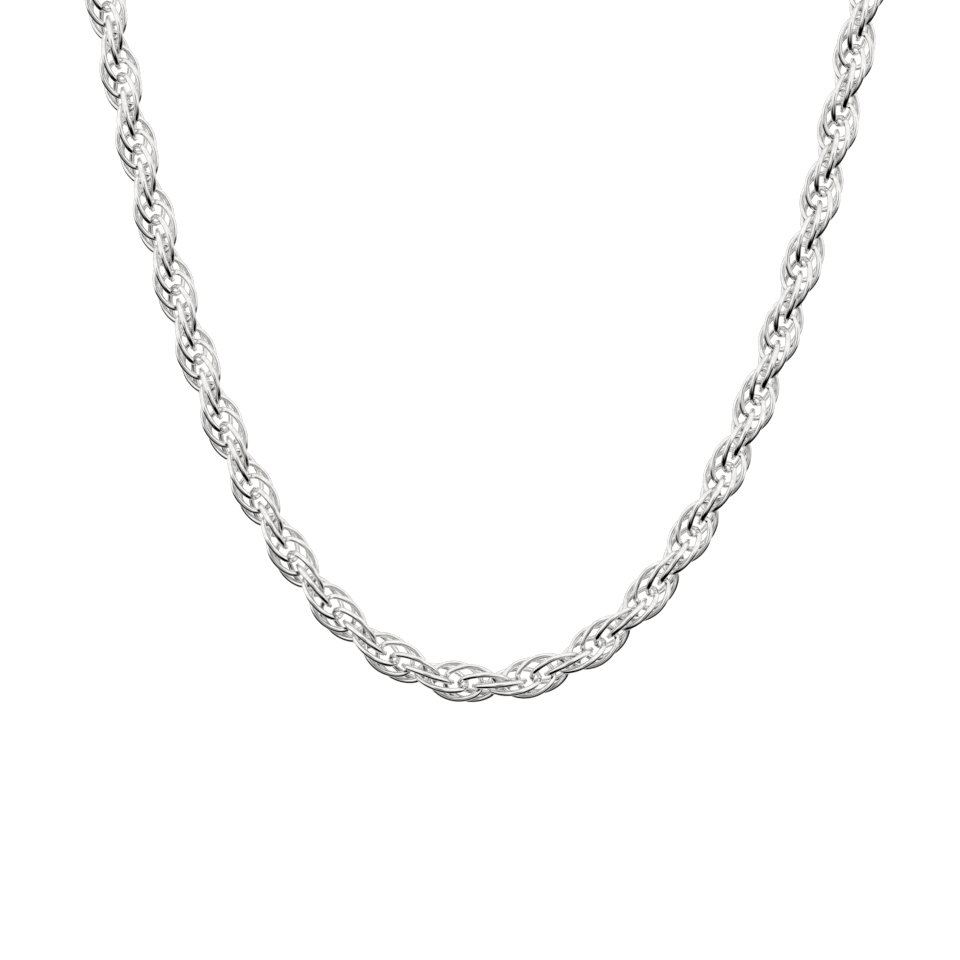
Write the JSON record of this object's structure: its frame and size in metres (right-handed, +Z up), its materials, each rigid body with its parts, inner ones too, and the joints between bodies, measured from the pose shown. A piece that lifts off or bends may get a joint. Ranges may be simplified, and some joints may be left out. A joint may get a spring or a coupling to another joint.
{
  "type": "chain necklace",
  "caption": "Loose-rope chain necklace of interlinked oval rings with a lobster clasp and end ring, laid flat in an open U.",
  "frame": {"origin": "middle of the necklace's outline as it lies in its U, on the plane it rests on", "axes": "+Z up from the resting plane, +Y from the front of the necklace towards its open ends, +X towards the clasp's side"},
  "size_m": [0.1483, 0.2559, 0.0058],
  "materials": {
    "silver": "polished",
    "spring_steel": "bright drawn"
  },
  "bodies": {
    "links_left_25": {"links_left_25": "silver"},
    "links_left_24": {"links_left_24": "silver"},
    "links_left_23": {"links_left_23": "silver"},
    "links_left_22": {"links_left_22": "silver"},
    "links_left_21": {"links_left_21": "silver"},
    "links_left_20": {"links_left_20": "silver"},
    "links_left_19": {"links_left_19": "silver"},
    "links_left_18": {"links_left_18": "silver"},
    "links_left_17": {"links_left_17": "silver"},
    "links_left_16": {"links_left_16": "silver"},
    "links_left_15": {"links_left_15": "silver"},
    "links_left_14": {"links_left_14": "silver"},
    "links_left_13": {"links_left_13": "silver"},
    "links_left_12": {"links_left_12": "silver"},
    "links_left_11": {"links_left_11": "silver"},
    "links_left_10": {"links_left_10": "silver"},
    "links_left_09": {"links_left_09": "silver"},
    "links_left_08": {"links_left_08": "silver"},
    "links_left_07": {"links_left_07": "silver"},
    "links_left_06": {"links_left_06": "silver"},
    "links_left_05": {"links_left_05": "silver"},
    "links_left_04": {"links_left_04": "silver"},
    "links_left_03": {"links_left_03": "silver"},
    "links_left_02": {"links_left_02": "silver"},
    "links_left_01": {"links_left_01": "silver"},
    "links_front": {"links_front": "silver"},
    "links_right_01": {"links_right_01": "silver"},
    "links_right_02": {"links_right_02": "silver"},
    "links_right_03": {"links_right_03": "silver"},
    "links_right_04": {"links_right_04": "silver"},
    "links_right_05": {"links_right_05": "silver"},
    "links_right_06": {"links_right_06": "silver"},
    "links_right_07": {"links_right_07": "silver"},
    "links_right_08": {"links_right_08": "silver"},
    "links_right_09": {"links_right_09": "silver"},
    "links_right_10": {"links_right_10": "silver"},
    "links_right_11": {"links_right_11": "silver"},
    "links_right_12": {"links_right_12": "silver"},
    "links_right_13": {"links_right_13": "silver"},
    "links_right_14": {"links_right_14": "silver"},
    "links_right_15": {"links_right_15": "silver"},
    "links_right_16": {"links_right_16": "silver"},
    "links_right_17": {"links_right_17": "silver"},
    "links_right_18": {"links_right_18": "silver"},
    "links_right_19": {"links_right_19": "silver"},
    "links_right_20": {"links_right_20": "silver"},
    "links_right_21": {"links_right_21": "silver"},
    "links_right_22": {"links_right_22": "silver"},
    "links_right_23": {"links_right_23": "silver"},
    "links_right_24": {"links_right_24": "silver"},
    "links_right_25": {"links_right_25": "silver"},
    "jump_ring_left": {"jump_ring_left": "silver"},
    "end_ring": {"end_ring": "silver"},
    "jump_ring_right": {"jump_ring_right": "silver"},
    "clasp": {"clasp_body": "silver", "clasp_pin": "silver", "clasp_spring": "spring_steel"},
    "clasp_lever": {"clasp_lever": "silver"}
  },
  "joints": [
    {"name": "bend_right_01", "type": "hinge", "parent": "links_front", "child": "links_right_01", "pos_m": [0.00689, -0.12417, 0.0029], "axis": [0, 0, 1], "range_deg": [-14.5, 19.7]},
    {"name": "bend_right_02", "type": "hinge", "parent": "links_right_01", "child": "links_right_02", "pos_m": [0.01568, -0.11951, 0.0029], "axis": [0, 0, -1], "range_deg": [-20.4, 16.8]},
    {"name": "bend_right_03", "type": "hinge", "parent": "links_right_02", "child": "links_right_03", "pos_m": [0.02282, -0.11254, 0.0029], "axis": [0, 0, 1], "range_deg": [-18.7, 21]},
    {"name": "bend_right_04", "type": "hinge", "parent": "links_right_03", "child": "links_right_04", "pos_m": [0.02856, -0.10436, 0.0029], "axis": [0, 0, -1], "range_deg": [-21.3, 19.8]},
    {"name": "bend_right_05", "type": "hinge", "parent": "links_right_04", "child": "links_right_05", "pos_m": [0.03327, -0.09554, 0.0029], "axis": [0, 0, 1], "range_deg": [-20.5, 21.5]},
    {"name": "bend_right_06", "type": "hinge", "parent": "links_right_05", "child": "links_right_06", "pos_m": [0.03723, -0.08636, 0.0029], "axis": [0, 0, -1], "range_deg": [-21.7, 20.9]},
    {"name": "bend_right_07", "type": "hinge", "parent": "links_right_06", "child": "links_right_07", "pos_m": [0.04063, -0.07696, 0.0029], "axis": [0, 0, 1], "range_deg": [-21.2, 21.7]},
    {"name": "bend_right_08", "type": "hinge", "parent": "links_right_07", "child": "links_right_08", "pos_m": [0.0436, -0.06741, 0.0029], "axis": [0, 0, -1], "range_deg": [-21.8, 21.4]},
    {"name": "bend_right_09", "type": "hinge", "parent": "links_right_08", "child": "links_right_09", "pos_m": [0.04623, -0.05776, 0.0029], "axis": [0, 0, 1], "range_deg": [-21.5, 21.8]},
    {"name": "bend_right_10", "type": "hinge", "parent": "links_right_09", "child": "links_right_10", "pos_m": [0.04859, -0.04804, 0.0029], "axis": [0, 0, -1], "range_deg": [-21.9, 21.6]},
    {"name": "bend_right_11", "type": "hinge", "parent": "links_right_10", "child": "links_right_11", "pos_m": [0.05073, -0.03828, 0.0029], "axis": [0, 0, 1], "range_deg": [-21.7, 21.9]},
    {"name": "bend_right_12", "type": "hinge", "parent": "links_right_11", "child": "links_right_12", "pos_m": [0.05269, -0.02847, 0.0029], "axis": [0, 0, -1], "range_deg": [-21.9, 21.7]},
    {"name": "bend_right_13", "type": "hinge", "parent": "links_right_12", "child": "links_right_13", "pos_m": [0.05449, -0.01863, 0.0029], "axis": [0, 0, 1], "range_deg": [-21.8, 21.9]},
    {"name": "bend_right_14", "type": "hinge", "parent": "links_right_13", "child": "links_right_14", "pos_m": [0.05616, -0.00878, 0.0029], "axis": [0, 0, -1], "range_deg": [-21.9, 21.8]},
    {"name": "bend_right_15", "type": "hinge", "parent": "links_right_14", "child": "links_right_15", "pos_m": [0.05772, 0.0011, 0.0029], "axis": [0, 0, 1], "range_deg": [-21.8, 21.9]},
    {"name": "bend_right_16", "type": "hinge", "parent": "links_right_15", "child": "links_right_16", "pos_m": [0.05917, 0.011, 0.0029], "axis": [0, 0, -1], "range_deg": [-21.9, 21.8]},
    {"name": "bend_right_17", "type": "hinge", "parent": "links_right_16", "child": "links_right_17", "pos_m": [0.06054, 0.0209, 0.0029], "axis": [0, 0, 1], "range_deg": [-21.9, 22]},
    {"name": "bend_right_18", "type": "hinge", "parent": "links_right_17", "child": "links_right_18", "pos_m": [0.06183, 0.03082, 0.0029], "axis": [0, 0, -1], "range_deg": [-22, 21.9]},
    {"name": "bend_right_19", "type": "hinge", "parent": "links_right_18", "child": "links_right_19", "pos_m": [0.06305, 0.04074, 0.0029], "axis": [0, 0, 1], "range_deg": [-21.9, 22]},
    {"name": "bend_right_20", "type": "hinge", "parent": "links_right_19", "child": "links_right_20", "pos_m": [0.0642, 0.05068, 0.0029], "axis": [0, 0, -1], "range_deg": [-22, 21.9]},
    {"name": "bend_right_21", "type": "hinge", "parent": "links_right_20", "child": "links_right_21", "pos_m": [0.06531, 0.06062, 0.0029], "axis": [0, 0, 1], "range_deg": [-21.9, 22]},
    {"name": "bend_right_22", "type": "hinge", "parent": "links_right_21", "child": "links_right_22", "pos_m": [0.06635, 0.07056, 0.0029], "axis": [0, 0, -1], "range_deg": [-22, 21.9]},
    {"name": "bend_right_23", "type": "hinge", "parent": "links_right_22", "child": "links_right_23", "pos_m": [0.06736, 0.08051, 0.0029], "axis": [0, 0, 1], "range_deg": [-21.9, 22]},
    {"name": "bend_right_24", "type": "hinge", "parent": "links_right_23", "child": "links_right_24", "pos_m": [0.06832, 0.09047, 0.0029], "axis": [0, 0, -1], "range_deg": [-22, 21.9]},
    {"name": "bend_right_25", "type": "hinge", "parent": "links_right_24", "child": "links_right_25", "pos_m": [0.06924, 0.10042, 0.0029], "axis": [0, 0, 1], "range_deg": [-21.9, 22]},
    {"name": "bend_left_01", "type": "hinge", "parent": "links_front", "child": "links_left_01", "pos_m": [-0.00299, -0.12504, 0.0029], "axis": [0, 0, 1], "range_deg": [-19.5, 13.9]},
    {"name": "bend_left_02", "type": "hinge", "parent": "links_left_01", "child": "links_left_02", "pos_m": [-0.01236, -0.12173, 0.0029], "axis": [0, 0, -1], "range_deg": [-15.9, 20.1]},
    {"name": "bend_left_03", "type": "hinge", "parent": "links_left_02", "child": "links_left_03", "pos_m": [-0.02015, -0.11552, 0.0029], "axis": [0, 0, 1], "range_deg": [-20.8, 18]},
    {"name": "bend_left_04", "type": "hinge", "parent": "links_left_03", "child": "links_left_04", "pos_m": [-0.02641, -0.10773, 0.0029], "axis": [0, 0, -1], "range_deg": [-19.4, 21.2]},
    {"name": "bend_left_05", "type": "hinge", "parent": "links_left_04", "child": "links_left_05", "pos_m": [-0.03149, -0.09913, 0.0029], "axis": [0, 0, 1], "range_deg": [-21.5, 20.3]},
    {"name": "bend_left_06", "type": "hinge", "parent": "links_left_05", "child": "links_left_06", "pos_m": [-0.03572, -0.09007, 0.0029], "axis": [0, 0, -1], "range_deg": [-20.8, 21.6]},
    {"name": "bend_left_07", "type": "hinge", "parent": "links_left_06", "child": "links_left_07", "pos_m": [-0.03933, -0.08074, 0.0029], "axis": [0, 0, 1], "range_deg": [-21.7, 21.1]},
    {"name": "bend_left_08", "type": "hinge", "parent": "links_left_07", "child": "links_left_08", "pos_m": [-0.04245, -0.07124, 0.0029], "axis": [0, 0, -1], "range_deg": [-21.3, 21.8]},
    {"name": "bend_left_09", "type": "hinge", "parent": "links_left_08", "child": "links_left_09", "pos_m": [-0.04521, -0.06163, 0.0029], "axis": [0, 0, 1], "range_deg": [-21.8, 21.4]},
    {"name": "bend_left_10", "type": "hinge", "parent": "links_left_09", "child": "links_left_10", "pos_m": [-0.04767, -0.05194, 0.0029], "axis": [0, 0, -1], "range_deg": [-21.6, 21.9]},
    {"name": "bend_left_11", "type": "hinge", "parent": "links_left_10", "child": "links_left_11", "pos_m": [-0.0499, -0.04219, 0.0029], "axis": [0, 0, 1], "range_deg": [-21.9, 21.6]},
    {"name": "bend_left_12", "type": "hinge", "parent": "links_left_11", "child": "links_left_12", "pos_m": [-0.05193, -0.0324, 0.0029], "axis": [0, 0, -1], "range_deg": [-21.7, 21.9]},
    {"name": "bend_left_13", "type": "hinge", "parent": "links_left_12", "child": "links_left_13", "pos_m": [-0.05379, -0.02257, 0.0029], "axis": [0, 0, 1], "range_deg": [-21.9, 21.7]},
    {"name": "bend_left_14", "type": "hinge", "parent": "links_left_13", "child": "links_left_14", "pos_m": [-0.05551, -0.01272, 0.0029], "axis": [0, 0, -1], "range_deg": [-21.8, 21.9]},
    {"name": "bend_left_15", "type": "hinge", "parent": "links_left_14", "child": "links_left_15", "pos_m": [-0.05711, -0.00285, 0.0029], "axis": [0, 0, 1], "range_deg": [-21.9, 21.8]},
    {"name": "bend_left_16", "type": "hinge", "parent": "links_left_15", "child": "links_left_16", "pos_m": [-0.0586, 0.00704, 0.0029], "axis": [0, 0, -1], "range_deg": [-21.8, 21.9]},
    {"name": "bend_left_17", "type": "hinge", "parent": "links_left_16", "child": "links_left_17", "pos_m": [-0.06, 0.01694, 0.0029], "axis": [0, 0, 1], "range_deg": [-22, 21.8]},
    {"name": "bend_left_18", "type": "hinge", "parent": "links_left_17", "child": "links_left_18", "pos_m": [-0.06132, 0.02685, 0.0029], "axis": [0, 0, -1], "range_deg": [-21.9, 22]},
    {"name": "bend_left_19", "type": "hinge", "parent": "links_left_18", "child": "links_left_19", "pos_m": [-0.06257, 0.03677, 0.0029], "axis": [0, 0, 1], "range_deg": [-22, 21.9]},
    {"name": "bend_left_20", "type": "hinge", "parent": "links_left_19", "child": "links_left_20", "pos_m": [-0.06375, 0.0467, 0.0029], "axis": [0, 0, -1], "range_deg": [-21.9, 22]},
    {"name": "bend_left_21", "type": "hinge", "parent": "links_left_20", "child": "links_left_21", "pos_m": [-0.06487, 0.05664, 0.0029], "axis": [0, 0, 1], "range_deg": [-22, 21.9]},
    {"name": "bend_left_22", "type": "hinge", "parent": "links_left_21", "child": "links_left_22", "pos_m": [-0.06594, 0.06658, 0.0029], "axis": [0, 0, -1], "range_deg": [-21.9, 22]},
    {"name": "bend_left_23", "type": "hinge", "parent": "links_left_22", "child": "links_left_23", "pos_m": [-0.06696, 0.07653, 0.0029], "axis": [0, 0, 1], "range_deg": [-22, 21.9]},
    {"name": "bend_left_24", "type": "hinge", "parent": "links_left_23", "child": "links_left_24", "pos_m": [-0.06794, 0.08648, 0.0029], "axis": [0, 0, -1], "range_deg": [-21.9, 22]},
    {"name": "bend_left_25", "type": "hinge", "parent": "links_left_24", "child": "links_left_25", "pos_m": [-0.06887, 0.09644, 0.0029], "axis": [0, 0, 1], "range_deg": [-22, 21.9]},
    {"name": "jump_ring_left_swing", "type": "hinge", "parent": "links_left_25", "child": "jump_ring_left", "pos_m": [-0.06999, 0.10889, 0.0029], "axis": [0, 0, 1], "range_deg": [-18, 18]},
    {"name": "end_ring_swing", "type": "hinge", "parent": "jump_ring_left", "child": "end_ring", "pos_m": [-0.07025, 0.11178, 0.0029], "axis": [0, 0, 1], "range_deg": [-35, 35]},
    {"name": "jump_ring_right_swing", "type": "hinge", "parent": "links_right_25", "child": "jump_ring_right", "pos_m": [0.07034, 0.11287, 0.0029], "axis": [0, 0, 1], "range_deg": [-18, 18]},
    {"name": "clasp_swing", "type": "hinge", "parent": "jump_ring_right", "child": "clasp", "pos_m": [0.07062, 0.11616, 0.0029], "axis": [0.012, 0.1376, 0.9904], "range_deg": [-60, 60]},
    {"name": "clasp_lever_hinge", "type": "hinge", "parent": "clasp", "child": "clasp_lever", "pos_m": [0.07, 0.12158, 0.00215], "axis": [0.012, 0.1376, 0.9904], "range_deg": [-28, 0], "stiffness_Nm_per_rad": 0.0004, "springref_deg": 20.05, "deforming": ["clasp_spring"]}
  ]
}
